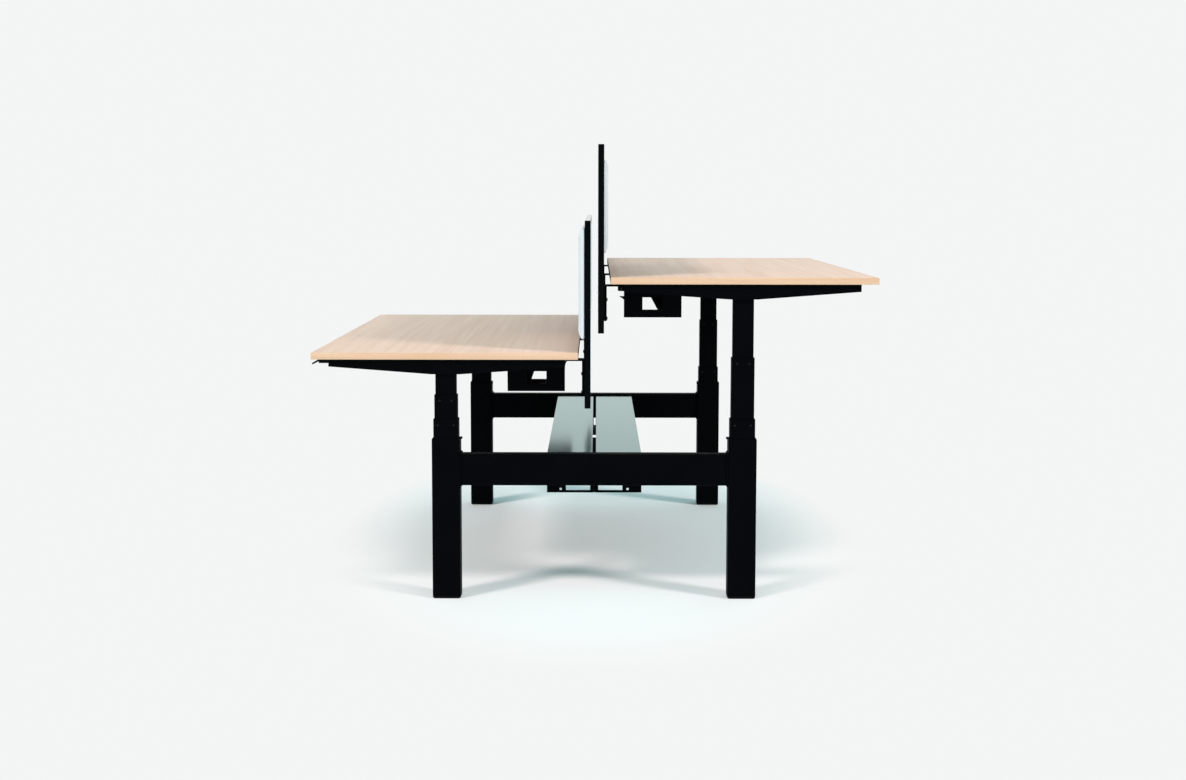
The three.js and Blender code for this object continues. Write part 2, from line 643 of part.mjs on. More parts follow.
// A plate that slopes down past the front edge from the knuckle it turns on.
function paddleGeometry() {
  const y0 = HANDSET_Y0 + PADDLE_END_GAP;
  const y1 = HANDSET_Y1 - PADDLE_END_GAP;
  const plate = prismY(roundedRect(PADDLE_REACH, PADDLE_PLATE, BORE_RADIUS), y0, y1);
  plate.translate(PADDLE_REACH / 2, 0, 0).rotateY(-PADDLE_SLOPE).translate(PADDLE_X, 0, PADDLE_Z);
  return joined(plate, barY(PADDLE_KNUCKLE, PADDLE_X, PADDLE_Z, y0, y1));
}

const topGeometry = slab(TOP_DEPTH, BENCH_LENGTH, TOP_EDGE, TOP_THICKNESS, TOP_EDGE);
topGeometry.translate((REAR + FRONT) / 2, 0, UNDERSIDE);

// One desk with everything that rises with its top. Turned half round, its ends change places.
// Both trays hang a little to the right, seen from the near end.
function buildDesk(side, lift, turned) {
  const desk = new THREE.Group();
  const ends = turned ? { low: 'far', high: 'near' } : { low: 'near', high: 'far' };
  const arm = armGeometry();
  const drive = driveGeometry();
  for (const [end, y] of [[ends.low, -COLUMN_Y], [ends.high, COLUMN_Y]]) {
    const armPart = part(`${side}_${end}_arm`, arm, BLACK_METAL);
    const tube = part(`${side}_${end}_inner_tube`, innerTubeGeometry, BLACK_METAL);
    const motor = part(`${side}_${end}_lift_drive`, drive, STEEL);
    armPart.position.set(0, y, 0);
    tube.position.set(COLUMN_X, y, 0);
    motor.position.set(COLUMN_X, y, 0);
    desk.add(armPart, tube, motor);
  }
  const bracket = bracketGeometry();
  const bracketReach = HALF_LENGTH - BRACKET_INSET;
  for (const [place, y] of [[ends.low, -bracketReach], ['middle', 0], [ends.high, bracketReach]]) {
    const bracketPart = part(`${side}_${place}_screen_bracket`, bracket, BLACK_METAL);
    bracketPart.position.set(0, y, 0);
    desk.add(bracketPart);
  }
  const rail = railGeometry();
  const rearRail = part(`${side}_rear_rail`, rail, BLACK_METAL);
  const frontRail = part(`${side}_front_rail`, rail, BLACK_METAL);
  rearRail.position.set(REAR_RAIL_X, 0, 0);
  frontRail.position.set(FRONT_RAIL_X, 0, 0);
  desk.add(
    rearRail,
    frontRail,
    part(`${side}_desktop`, topGeometry, BEECH_BOARD),
    part(`${side}_control_box`, controlBoxGeometry(), BLACK_PLASTIC),
    part(`${side}_cable_tray`, trayGeometry(), BLACK_METAL),
    part(`${side}_screen`, screenGeometry(), BLACK_BOARD),
    part(`${side}_screen_pad`, padGeometry(), PALE_FABRIC),
    part(`${side}_handset_body`, handsetBodyGeometry(), BLACK_PLASTIC),
    part(`${side}_handset_paddle`, paddleGeometry(), BLACK_PLASTIC),
  );
  desk.rotation.z = turned ? Math.PI : 0;
  desk.position.z = lift;
  return desk;
}

// The fixed frame, with the four columns' fixed and middle tubes.
function buildFrame(lifts) {
  const frame = new THREE.Group();
  const beam = beamGeometry();
  const endPlate = endPlateGeometry();
  const lid = lidGeometry();
  const foot = footGeometry();
  for (const [end, sign] of [['near', -1], ['far', 1]]) {
    const crossBeam = part(`${end}_cross_beam`, beam, BLACK_METAL);
    crossBeam.position.y = sign * COLUMN_Y;
    const plate = part(`${end}_trough_end_plate`, endPlate, BLACK_METAL);
    plate.rotation.z = sign > 0 ? 0 : Math.PI;
    frame.add(crossBeam, plate);
    for (const [side, across] of [['left', -1], ['right', 1]]) {
      const column = new THREE.Group();
      const middle = part(`${side}_${end}_middle_tube`, middleTubeGeometry, BLACK_METAL);
      middle.position.z = lifts[side] / 2;
      column.add(
        part(`${side}_${end}_leg_sleeve`, sleeveGeometry, BLACK_METAL),
        part(`${side}_${end}_foot`, foot, BLACK_PLASTIC),
        part(`${side}_${end}_outer_tube`, outerTubeGeometry, BLACK_METAL),
        middle,
      );
      column.position.set(across * COLUMN_X, sign * COLUMN_Y, 0);
      frame.add(column);
    }
  }
  const leftLid = part('left_trough_lid', lid, BLACK_SATIN);
  leftLid.rotation.z = Math.PI;
  frame.add(
    part('cable_trough', troughGeometry(), BLACK_METAL),
    part('right_trough_lid', lid, BLACK_SATIN),
    leftLid,
  );
  return frame;
}

const bench = new THREE.Group();
bench.add(
  buildFrame({ left: LEFT_LIFT, right: RIGHT_LIFT }),
  buildDesk('left', LEFT_LIFT, true),
  buildDesk('right', RIGHT_LIFT, false),
);

export default bench;
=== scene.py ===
import math

import bpy
from mathutils import Matrix, Vector


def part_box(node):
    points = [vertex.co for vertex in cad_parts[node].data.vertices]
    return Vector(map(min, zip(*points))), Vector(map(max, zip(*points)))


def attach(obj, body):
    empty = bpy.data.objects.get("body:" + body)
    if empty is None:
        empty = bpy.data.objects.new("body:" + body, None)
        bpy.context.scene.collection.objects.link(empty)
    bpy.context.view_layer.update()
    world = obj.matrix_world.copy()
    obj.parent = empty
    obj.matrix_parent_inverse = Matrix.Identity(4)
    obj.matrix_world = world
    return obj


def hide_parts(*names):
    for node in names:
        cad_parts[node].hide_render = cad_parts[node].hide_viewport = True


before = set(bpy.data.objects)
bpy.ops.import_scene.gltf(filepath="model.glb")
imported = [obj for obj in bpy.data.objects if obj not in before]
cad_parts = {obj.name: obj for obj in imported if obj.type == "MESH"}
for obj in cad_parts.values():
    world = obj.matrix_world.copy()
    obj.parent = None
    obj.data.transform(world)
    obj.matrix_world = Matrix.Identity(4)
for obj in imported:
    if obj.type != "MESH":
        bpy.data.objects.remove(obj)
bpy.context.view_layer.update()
MM = 0.001
SAME_PLACE = 0.001 * MM

SIDES = ("left", "right")
ENDS = ("near", "far")

# Sizes taken from the solids, for the right desk at its rest height
TOP_LOW, TOP_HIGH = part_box("right_desktop")
LEFT_TOP_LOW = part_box("left_desktop")[0]
RISE = LEFT_TOP_LOW.z - TOP_LOW.z
COLUMN_LOW, COLUMN_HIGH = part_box("right_far_leg_sleeve")
COLUMN_Y = (COLUMN_LOW.y + COLUMN_HIGH.y) / 2
BEAM_LOW, BEAM_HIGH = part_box("far_cross_beam")

# Desktops
EDGE_BAND = 2 * MM
BAND_ROUND = 1.5 * MM
BOARD_SEAM = 0.1 * MM

# Pads: the foam, the rounding of its edges, and the air under the cover
PAD_VOXEL = 5.5 * MM
PAD_SWELL = 4 * MM
PAD_MARGIN = 0.35 * PAD_SWELL
PAD_ROUND = 9 * MM
PAD_BACK_ROUND = 4 * MM
PAD_HELD = 0.75 * PAD_VOXEL
PAD_PRESSURE = 4.0
PAD_STIFFNESS = 12.0
PAD_STEPS = 20

# Screws: a button head with a hexagon socket
SCREW_RADIUS = 5 * MM
SCREW_HEIGHT = 2.8 * MM
SCREW_ROUND = 1.6 * MM
SOCKET_RADIUS = 2.4 * MM
SOCKET_FLOOR = 1.2 * MM
SOCKET_TOP = 4 * MM

# Where a desk's screws sit, from the bench's middle or from the edges of the piece they hold
UNDER_GAP = 0.3 * MM
ARM_SCREWS_X = (0.125, 0.32, 0.575, 0.765)
ARM_FLANGE = 3 * MM
TRAY_SCREWS_Y = (-0.51, -0.17, 0.17, 0.51)
TRAY_SCREW_INSET = 9 * MM
TRAY_FLANGE = 2 * MM
TRAY_END_SCREW_INSET = 7 * MM
TRAY_END_SCREW_DROP = 17 * MM
BRACKET_LEG = 8 * MM
BRACKET_SCREW_DROPS = (50 * MM, 107 * MM)
RAIL_SCREWS_Y = (-0.32, 0.32)
BOX_SCREW_INSET = 12 * MM

# Glide pips: for each tube half its depth, and a pip's way from its middle and down from its top
PIP_RADIUS = 3 * MM
PIP_HEIGHT = 0.5 * MM
PIP_ROUND = 0.4 * MM
OUTER_TUBE_PIPS = (22.75 * MM, 24 * MM, 18 * MM)
MIDDLE_TUBE_PIPS = (19.5 * MM, 18 * MM, 17 * MM)

# Clamp tabs and beam welds
TAB_HALF_WIDTH = 6 * MM
TAB_DEPTH = 3.6 * MM
TAB_DROP = 5.5 * MM
TAB_RISE = 0.6 * MM
TAB_ROUND = 1.2 * MM
TAB_INSET = 8 * MM
WELD_LEG = 5 * MM
WELD_CORNER = 8 * MM
WELD_LIP = 0.3 * MM
WELD_GAP = 0.05 * MM
BEAM_CORNER = 4 * MM

# Softened edges of the solids, and smooth shading of the pieces
MERGE_WITHIN = 0.01 * MM
SHARP_FROM = math.radians(40)
SMOOTH_TO = math.radians(35)

# The left desk is the right one turned half round and lower
TO_LEFT = Matrix.Translation((0, 0, RISE)) @ Matrix.Rotation(math.pi, 4, "Z")


# Finishes: reach of the noise, repeats to the metre and heights of textures, and shades over the wood

NOISE_LOW, NOISE_HIGH = 0.3, 0.7
PEEL_PER_METRE = (620, 620, 620)
PEEL_HEIGHT = 0.05 * MM
DRIFT_PER_METRE = (9, 9, 9)
FIBRES_TO_STREAK = 13
FIBRE_HEIGHT = 0.04 * MM
YARN_PER_METRE = (700, 260, 260)
WEAVE_SCALE = 220.0
WEAVE_DISTORTION = 0.6
WEAVE_HEIGHT = 0.12 * MM
GLOSS_ROUGHNESS = 0.08
GLOSS_FROM, GLOSS_TO = 0.9, 0.98
PLAIN = (1.0, 1.0, 1.0)
FAINT = (0.93, 0.93, 0.93)
FLECK = (0.9, 0.86, 0.81)


def start_finish(name, **sockets):
    finish = bpy.data.materials.new(name)
    finish.use_nodes = True
    shader = finish.node_tree.nodes["Principled BSDF"]
    for socket, value in sockets.items():
        shader.inputs[socket.replace("_", " ")].default_value = value
    return finish, shader


def add_node(finish, kind, inputs, **settings):
    node = finish.node_tree.nodes.new(kind)
    for name, value in settings.items():
        setattr(node, name, value)
    for name, value in inputs.items():
        node.inputs[name].default_value = value
    return node


def wire(finish, source, target):
    finish.node_tree.links.new(source, target)


def place_on(finish, per_metre):
    """Object coordinates, stretched to so many repeats to the metre."""
    place = add_node(finish, "ShaderNodeTexCoord", {})
    stretch = add_node(finish, "ShaderNodeMapping", {"Scale": per_metre})
    wire(finish, place.outputs["Object"], stretch.inputs["Vector"])
    return stretch.outputs["Vector"]


def mottle(finish, per_metre, detail):
    field = add_node(finish, "ShaderNodeTexNoise", {"Scale": 1.0, "Detail": detail})
    wire(finish, place_on(finish, per_metre), field.inputs["Vector"])
    return field.outputs[0]


def shades(finish, field, *stops):
    ramp = add_node(finish, "ShaderNodeValToRGB", {})
    band = ramp.color_ramp
    for at, _ in stops[1:-1]:
        band.elements.new(at)
    for element, (at, colour) in zip(band.elements, stops):
        element.position = at
        element.color = (*colour, 1.0)
    wire(finish, field, ramp.inputs["Fac"])
    return ramp.outputs["Color"]


def levels(finish, field, low, high):
    ends = {"From Min": NOISE_LOW, "From Max": NOISE_HIGH, "To Min": low, "To Max": high}
    reach = add_node(finish, "ShaderNodeMapRange", ends)
    wire(finish, field, reach.inputs["Value"])
    return reach.outputs["Result"]


def multiplied(finish, colour, over):
    mix = add_node(finish, "ShaderNodeMix", {}, data_type="RGBA", blend_type="MULTIPLY")
    mix.inputs[0].default_value = 1.0
    wire(finish, colour, mix.inputs[6])
    wire(finish, over, mix.inputs[7])
    return mix.outputs[2]


def relief(finish, shader, field, height):
    bump = add_node(finish, "ShaderNodeBump", {"Strength": 1.0, "Distance": height})
    wire(finish, field, bump.inputs["Height"])
    wire(finish, bump.outputs["Normal"], shader.inputs["Normal"])


def coated_metal(name, dark, pale, rough, **sockets):
    """Powder coat: a fine orange peel, with a little change of gloss over each piece."""
    finish, shader = start_finish(name, **sockets)
    peel = mottle(finish, PEEL_PER_METRE, 3.0)
    drift = mottle(finish, DRIFT_PER_METRE, 3.0)
    coat = shades(finish, drift, (NOISE_LOW, dark), (NOISE_HIGH, pale))
    wire(finish, coat, shader.inputs["Base Color"])
    wire(finish, levels(finish, drift, *rough), shader.inputs["Roughness"])
    relief(finish, shader, peel, PEEL_HEIGHT)
    return finish


def grazing_gloss(finish, weight):
    """A clear film that shows only where the surface is seen along itself."""
    shader = finish.node_tree.nodes["Principled BSDF"]
    shader.inputs["Coat Roughness"].default_value = GLOSS_ROUGHNESS
    slant = add_node(finish, "ShaderNodeLayerWeight", {"Blend": 0.5})
    ends = {"From Min": GLOSS_FROM, "From Max": GLOSS_TO, "To Max": weight}
    reach = add_node(finish, "ShaderNodeMapRange", ends)
    wire(finish, slant.outputs["Facing"], reach.inputs["Value"])
    wire(finish, reach.outputs["Result"], shader.inputs["Coat Weight"])


def beech(name, grain, pores, light, mid, dark):
    """Beech-look board: streaks, fine fibres and short flecks, along the grain."""
    finish, shader = start_finish(name, Specular_IOR_Level=0.35)
    streaks = mottle(finish, grain, 4.0)
    fibres = mottle(finish, [FIBRES_TO_STREAK * repeats for repeats in grain], 2.0)
    flecks = mottle(finish, pores, 1.0)
    wood = shades(finish, streaks, (0.28, dark), (0.52, mid), (0.74, light))
    wood = multiplied(finish, wood, shades(finish, fibres, (0.35, FAINT), (0.6, PLAIN)))
    wood = multiplied(finish, wood, shades(finish, flecks, (0.3, FLECK), (0.38, PLAIN)))
    wire(finish, wood, shader.inputs["Base Color"])
    wire(finish, levels(finish, fibres, 0.42, 0.54), shader.inputs["Roughness"])
    relief(finish, shader, fibres, FIBRE_HEIGHT)
    return finish


def pad_cloth(name, warp, weft):
    """Plain weave of a pale melange yarn, with a soft nap."""
    finish, shader = start_finish(name, Specular_IOR_Level=0.2, Sheen_Weight=0.25, Sheen_Roughness=0.5)
    threads = []
    for direction in ("Y", "Z"):
        weave = {"Scale": WEAVE_SCALE, "Distortion": WEAVE_DISTORTION}
        wave = add_node(finish, "ShaderNodeTexWave", weave, bands_direction=direction)
        wire(finish, place_on(finish, (1, 1, 1)), wave.inputs["Vector"])
        threads.append(wave.outputs["Color"])
    yarn = mottle(finish, YARN_PER_METRE, 2.0)
    cloth = shades(finish, yarn, (0.32, weft), (0.66, warp))
    crossed = multiplied(finish, *threads)
    cloth = multiplied(finish, cloth, shades(finish, crossed, (0.0, FAINT), (0.5, PLAIN)))
    wire(finish, cloth, shader.inputs["Base Color"])
    wire(finish, levels(finish, yarn, 0.82, 0.95), shader.inputs["Roughness"])
    relief(finish, shader, crossed, WEAVE_HEIGHT)
    return finish


POWDER_BLACK = coated_metal(
    "powder_black", (0.0006, 0.0009, 0.0014), (0.001, 0.0014, 0.002), (0.46, 0.56), Specular_IOR_Level=0.02
)
LID_BLACK = coated_metal(
    "lid_black", (0.004, 0.006, 0.0065), (0.006, 0.009, 0.0095), (0.11, 0.14), Specular_IOR_Level=0.9,
    Coat_Weight=1.0, Coat_IOR=1.12, Coat_Roughness=0.12, Coat_Tint=(0.8, 0.97, 0.96, 1.0)
)
BOARD_BLACK = coated_metal(
    "board_black", (0.0006, 0.0009, 0.0013), (0.001, 0.0014, 0.0019), (0.28, 0.34), Specular_IOR_Level=0.03
)
grazing_gloss(BOARD_BLACK, 0.95)
PLASTIC_BLACK = coated_metal(
    "plastic_black", (0.0012, 0.0016, 0.0021), (0.002, 0.0025, 0.003), (0.46, 0.58), Specular_IOR_Level=0.05
)
DRIVE_STEEL = coated_metal(
    "drive_steel", (0.3, 0.31, 0.32), (0.42, 0.43, 0.44), (0.3, 0.42), Metallic=1.0
)
SCREW_BLACK = coated_metal(
    "screw_black", (0.014, 0.015, 0.017), (0.022, 0.023, 0.026), (0.34, 0.46), Metallic=1.0
)
GLIDE_GREY = coated_metal(
    "glide_grey", (0.004, 0.0045, 0.005), (0.006, 0.0065, 0.007), (0.4, 0.5), Specular_IOR_Level=0.12
)
LIGHT_BEECH = (0.765, 0.555, 0.448)
MID_BEECH = (0.731, 0.512, 0.4)
DARK_BEECH = (0.673, 0.457, 0.343)
BEECH_TOP = beech("beech_top", (62, 1.5, 62), (520, 90, 520), LIGHT_BEECH, MID_BEECH, DARK_BEECH)
LIGHT_EDGE = (0.765, 0.513, 0.347)
MID_EDGE = (0.727, 0.467, 0.306)
DARK_EDGE = (0.669, 0.412, 0.256)
BEECH_EDGE_LONG = beech("beech_edge_long", (90, 3, 90), (600, 110, 600), LIGHT_EDGE, MID_EDGE, DARK_EDGE)
BEECH_EDGE_SHORT = beech("beech_edge_short", (3, 90, 90), (110, 600, 600), LIGHT_EDGE, MID_EDGE, DARK_EDGE)
PAD_CLOTH = pad_cloth("pad_cloth", (0.75, 0.765, 0.785), (0.686, 0.702, 0.727))


# Modelling helpers

def deselect():
    bpy.ops.object.select_all(action="DESELECT")


def made_active(piece):
    deselect()
    piece.select_set(True)
    bpy.context.view_layer.objects.active = piece
    return piece


def settle(piece):
    """The piece's place goes into its mesh, and its object to the origin."""
    made_active(piece)
    bpy.ops.object.transform_apply(location=True, rotation=True, scale=True)
    return piece


def block(name, low, high):
    deselect()
    middle = [(a + b) / 2 for a, b in zip(low, high)]
    size = [b - a for a, b in zip(low, high)]
    bpy.ops.mesh.primitive_cube_add(size=1, location=middle, scale=size)
    piece = bpy.context.object
    piece.name = name
    return settle(piece)


def round_bar(name, sides, radius, low, high):
    """A bar along Z on the origin."""
    deselect()
    middle = (0, 0, (low + high) / 2)
    bpy.ops.mesh.primitive_cylinder_add(vertices=sides, radius=radius, depth=high - low, location=middle)
    piece = bpy.context.object
    piece.name = name
    return settle(piece)


def edit_edges(piece, wanted):
    """Into edit mode, with the edges selected whose two ends wanted() says yes to."""
    made_active(piece)
    bpy.ops.object.mode_set(mode="EDIT")
    bpy.ops.mesh.select_mode(type="EDGE")
    bpy.ops.mesh.select_all(action="DESELECT")
    bpy.ops.object.mode_set(mode="OBJECT")
    points = piece.data.vertices
    for edge in piece.data.edges:
        a, b = (points[i].co for i in edge.vertices)
        edge.select = bool(wanted(a, b))
    bpy.ops.object.mode_set(mode="EDIT")


def bevel_edges(piece, wanted, width, segments):
    edit_edges(piece, wanted)
    bpy.ops.mesh.bevel(offset=width, offset_type="OFFSET", segments=segments, affect="EDGES")
    bpy.ops.object.mode_set(mode="OBJECT")


def along(axis):
    """Picks edges that run along one axis."""
    others = [i for i in range(3) if i != axis]
    return lambda a, b: all(abs(a[i] - b[i]) < SAME_PLACE for i in others)


def level_at(axis, *places):
    """Picks edges that lie wholly at one of these places on an axis."""
    return lambda a, b: any(max(abs(a[axis] - p), abs(b[axis] - p)) < SAME_PLACE for p in places)


def cut_away(piece, cutter):
    made_active(piece)
    cut = piece.modifiers.new("cut", "BOOLEAN")
    cut.operation = "DIFFERENCE"
    cut.solver = "EXACT"
    cut.object = cutter
    bpy.ops.object.modifier_apply(modifier="cut")
    bpy.data.objects.remove(cutter)
    return piece


def copied(piece, name, matrix):
    twin = piece.copy()
    twin.data = piece.data.copy()
    twin.name = name
    bpy.context.scene.collection.objects.link(twin)
    twin.data.transform(matrix)
    return twin


def joined(name, pieces):
    deselect()
    for piece in pieces:
        piece.select_set(True)
    bpy.context.view_layer.objects.active = pieces[0]
    if len(pieces) > 1:
        bpy.ops.object.join()
    pieces[0].name = name
    return pieces[0]


def smooth(piece):
    made_active(piece)
    bpy.ops.object.shade_smooth_by_angle(angle=SMOOTH_TO)
    return piece


def finished(piece, body, slot, *finishes):
    piece.data.materials.clear()
    for finish in finishes:
        piece.data.materials.append(finish)
    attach(piece, body)
    return piece


# Desktops: a board inside a ring of edge band

def model_board():
    inset = Vector((EDGE_BAND + BOARD_SEAM, EDGE_BAND + BOARD_SEAM, 0))
    board = block("right_top_board", TOP_LOW + inset, TOP_HIGH - inset)
    bevel_edges(board, level_at(2, TOP_LOW.z, TOP_HIGH.z), BOARD_SEAM * 2, 2)
    return smooth(board)


def model_edge_band():
    band = block("right_edge_band", TOP_LOW, TOP_HIGH)
    bevel_edges(band, along(2), 2 * BAND_ROUND, 4)
    bevel_edges(band, level_at(2, TOP_LOW.z, TOP_HIGH.z), BAND_ROUND, 3)
    inset = Vector((EDGE_BAND, EDGE_BAND, -MM))
    cut_away(band, block("inside", TOP_LOW + inset, TOP_HIGH - inset))
    return smooth(band)


board = model_board()
band = model_edge_band()
boards = {"right": board, "left": copied(board, "left_top_board", TO_LEFT)}
bands = {"right": band, "left": copied(band, "left_edge_band", TO_LEFT)}
for side in SIDES:
    finished(boards[side], side + "_desk", "beech_board", BEECH_TOP)
    finished(bands[side], side + "_desk", "beech_board", BEECH_EDGE_LONG, BEECH_EDGE_SHORT)
    for face in bands[side].data.polygons:
        face.material_index = int(abs(face.center.y) > TOP_HIGH.y - EDGE_BAND)
    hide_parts(side + "_desktop")


# Pads: a foam panel swollen under its cover, flat where it lies on the screen

def swell(pad, back):
    """Blows the cover up from its flat back, and caps how far it may go."""
    held = pad.vertex_groups.new(name="held")
    held.add([v.index for v in pad.data.vertices if v.co.x < back + PAD_HELD], 1.0, "REPLACE")
    start = [v.co.copy() for v in pad.data.vertices]
    cover = pad.modifiers.new("cover", "CLOTH")
    cover.settings.vertex_group_mass = "held"
    cover.settings.use_pressure = True
    cover.settings.uniform_pressure_force = PAD_PRESSURE
    cover.settings.effector_weights.gravity = 0.0
    cover.settings.tension_stiffness = PAD_STIFFNESS
    cover.settings.compression_stiffness = PAD_STIFFNESS
    cover.collision_settings.use_collision = False
    for step in range(1, PAD_STEPS + 1):
        bpy.context.scene.frame_set(step)
    view = bpy.context.evaluated_depsgraph_get()
    blown = [v.co.copy() for v in pad.evaluated_get(view).data.vertices]
    pad.modifiers.remove(cover)
    bpy.context.scene.frame_set(1)
    for vertex, old, new in zip(pad.data.vertices, start, blown):
        way = new - old
        vertex.co = old + way * min(1.0, PAD_SWELL / max(way.length, 1e-9))


def model_pad():
    low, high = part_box("right_screen_pad")
    margin = Vector((0, PAD_MARGIN, PAD_MARGIN))
    swollen = Vector((PAD_SWELL, 0, 0))
    pad = block("right_stuffed_pad", low + margin, high - margin - swollen)
    bevel_edges(pad, along(0), PAD_ROUND, 3)
    bevel_edges(pad, level_at(0, high.x - PAD_SWELL), PAD_ROUND, 4)
    bevel_edges(pad, level_at(0, low.x), PAD_BACK_ROUND, 2)
    pad.data.remesh_voxel_size = PAD_VOXEL
    made_active(pad)
    bpy.ops.object.voxel_remesh()
    swell(pad, low.x)
    made_active(pad)
    finer = pad.modifiers.new("finer", "SUBSURF")
    finer.levels = 1
    finer.render_levels = 1
    bpy.ops.object.modifier_apply(modifier="finer")
    for vertex in pad.data.vertices:
        vertex.co.x = max(vertex.co.x, low.x)
    bpy.ops.object.shade_smooth()
    return pad


pad = model_pad()
pads = {"right": pad, "left": copied(pad, "left_stuffed_pad", TO_LEFT)}
for side in SIDES:
    finished(pads[side], side + "_desk", "pale_fabric", PAD_CLOTH)
    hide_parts(side + "_screen_pad")


# Screws and pips, each modelled once standing on the origin

def model_screw():
    screw = round_bar("screw", 20, SCREW_RADIUS, 0, SCREW_HEIGHT)
    bevel_edges(screw, level_at(2, SCREW_HEIGHT), SCREW_ROUND, 3)
    cut_away(screw, round_bar("socket", 6, SOCKET_RADIUS, SOCKET_FLOOR, SOCKET_TOP))
    return smooth(screw)


def model_glide_pip():
    """The button of a glide, seen through its hole in a tube."""
    pip = round_bar("glide_pip", 16, PIP_RADIUS, 0, PIP_HEIGHT)
    bevel_edges(pip, level_at(2, PIP_HEIGHT), PIP_ROUND, 2)
    return smooth(pip)


def spread(master, name, body, slot, finish, places):
    """Copies of a small piece at (point, direction) places, joined into one for each body."""
    copies = []
    for point, direction in places:
        turned = Vector(direction).to_track_quat("Z", "Y").to_matrix().to_4x4()
        copies.append(copied(master, name, Matrix.Translation(point) @ turned))
    return finished(joined(name, copies), body, slot, finish)


DOWN = Vector((0, 0, -1))
OUT_NEAR = Vector((0, -1, 0))
FROM_SCREEN = Vector((1, 0, 0))


def desk_screws(side):
    """Where a desk's screws sit, and which way their heads look."""
    turn = 1 if side == "right" else -1
    half_turn = Matrix.Diagonal((turn, turn, 1))

    def span_of(node):
        corners = [half_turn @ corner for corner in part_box(side + "_" + node)]
        return [Vector(map(ends, *corners)) for ends in (min, max)]

    under = span_of("desktop")[0].z - UNDER_GAP
    places = []
    for x in ARM_SCREWS_X:
        places += [((x, y, under - ARM_FLANGE), DOWN) for y in (-COLUMN_Y, COLUMN_Y)]
    low, high = span_of("cable_tray")
    places += [((high.x - TRAY_SCREW_INSET, y, under - TRAY_FLANGE), DOWN) for y in TRAY_SCREWS_Y]
    tray_end = (low.x + TRAY_END_SCREW_INSET, low.y, under - TRAY_END_SCREW_DROP)
    places.append((tray_end, OUT_NEAR))
    for bracket in ("near_screen_bracket", "middle_screen_bracket", "far_screen_bracket"):
        low, high = span_of(bracket)
        face = low.x + BRACKET_LEG
        y = (low.y + high.y) / 2
        places += [((face, y, under - drop), FROM_SCREEN) for drop in BRACKET_SCREW_DROPS]
    for rail in ("rear_rail", "front_rail"):
        low, high = span_of(rail)
        x = (low.x + high.x) / 2
        places += [((x, y, low.z), DOWN) for y in RAIL_SCREWS_Y]
    low, high = span_of("control_box")
    for x in (low.x + BOX_SCREW_INSET, high.x - BOX_SCREW_INSET):
        places += [((x, y, low.z), DOWN) for y in (low.y + BOX_SCREW_INSET, high.y - BOX_SCREW_INSET)]
    return [(half_turn @ Vector(point), half_turn @ direction) for point, direction in places]


screw = model_screw()
for side in SIDES:
    spread(screw, side + "_desk_screws", side + "_desk", "frame_black", SCREW_BLACK, desk_screws(side))
bpy.data.objects.remove(screw)


def tube_pips(node, half, offset, drop):
    """Two glide pips on the near and the far face of a tube, below its top."""
    low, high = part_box(node)
    middle = (low + high) / 2
    places = []
    for face in (-1, 1):
        for side in (-offset, offset):
            point = (middle.x + side, middle.y + face * half, high.z - drop)
            places.append((point, (0, face, 0)))
    return places


pip = model_glide_pip()
fixed_pips = []
for side in SIDES:
    for end in ENDS:
        column = side + "_" + end
        fixed_pips += tube_pips(column + "_outer_tube", *OUTER_TUBE_PIPS)
        moving = tube_pips(column + "_middle_tube", *MIDDLE_TUBE_PIPS)
        spread(pip, column + "_stage_pips", column + "_stage", "black_plastic", GLIDE_GREY, moving)
spread(pip, "column_pips", "base", "black_plastic", GLIDE_GREY, fixed_pips)
bpy.data.objects.remove(pip)


# Fixed frame: a clamp tab at the top of each sleeve, and a weld round each end of the beams

def model_tab():
    tab = block("tab", (-TAB_HALF_WIDTH, 0, -TAB_DROP), (TAB_HALF_WIDTH, TAB_DEPTH, TAB_RISE))
    bevel_edges(tab, level_at(1, TAB_DEPTH), TAB_ROUND, 3)
    return smooth(tab)


def model_weld():
    """A fillet round a beam's end, drawn for the far beam's right end."""
    low = Vector((BEAM_HIGH.x - WELD_LEG, BEAM_LOW.y - WELD_LEG, BEAM_LOW.z - WELD_LEG))
    high = Vector((BEAM_HIGH.x, BEAM_HIGH.y + WELD_LEG, BEAM_HIGH.z + WELD_LEG))
    weld = block("weld", low, high)
    bevel_edges(weld, along(0), WELD_CORNER, 5)
    bevel_edges(weld, level_at(0, low.x), WELD_LEG - WELD_LIP, 3)
    past = Vector((MM, WELD_GAP, WELD_GAP))
    beam_end = Vector((low.x, BEAM_LOW.y, BEAM_LOW.z))
    inside = block("inside", beam_end - past, BEAM_HIGH + past)
    bevel_edges(inside, along(0), BEAM_CORNER, 5)
    cut_away(weld, inside)
    return smooth(weld)


tab = model_tab()
tab_places = []
for end in (-1, 1):
    for across in (-1, 1):
        corner = (across * COLUMN_LOW.x, end * (COLUMN_LOW.y + TAB_INSET), COLUMN_HIGH.z)
        turned = Matrix.Rotation(across * math.pi / 2, 4, "Z")
        tab_places.append(copied(tab, "tab_copy", Matrix.Translation(corner) @ turned))
finished(joined("sleeve_tabs", tab_places), "base", "black_plastic", PLASTIC_BLACK)
bpy.data.objects.remove(tab)

weld = model_weld()
welds = []
beam_centre = Vector((0, (BEAM_HIGH.y + BEAM_LOW.y) / 2, 0))
there = Matrix.Translation(beam_centre)
back = Matrix.Translation(-beam_centre)
for shift in (0, -(BEAM_HIGH.y + BEAM_LOW.y)):
    for turn in (0, math.pi):
        about = there @ Matrix.Rotation(turn, 4, "Z") @ back
        welds.append(copied(weld, "weld_copy", Matrix.Translation((0, shift, 0)) @ about))
finished(joined("beam_welds", welds), "base", "frame_black", POWDER_BLACK)
bpy.data.objects.remove(weld)


# Finishes of the solids, with their sharp edges softened

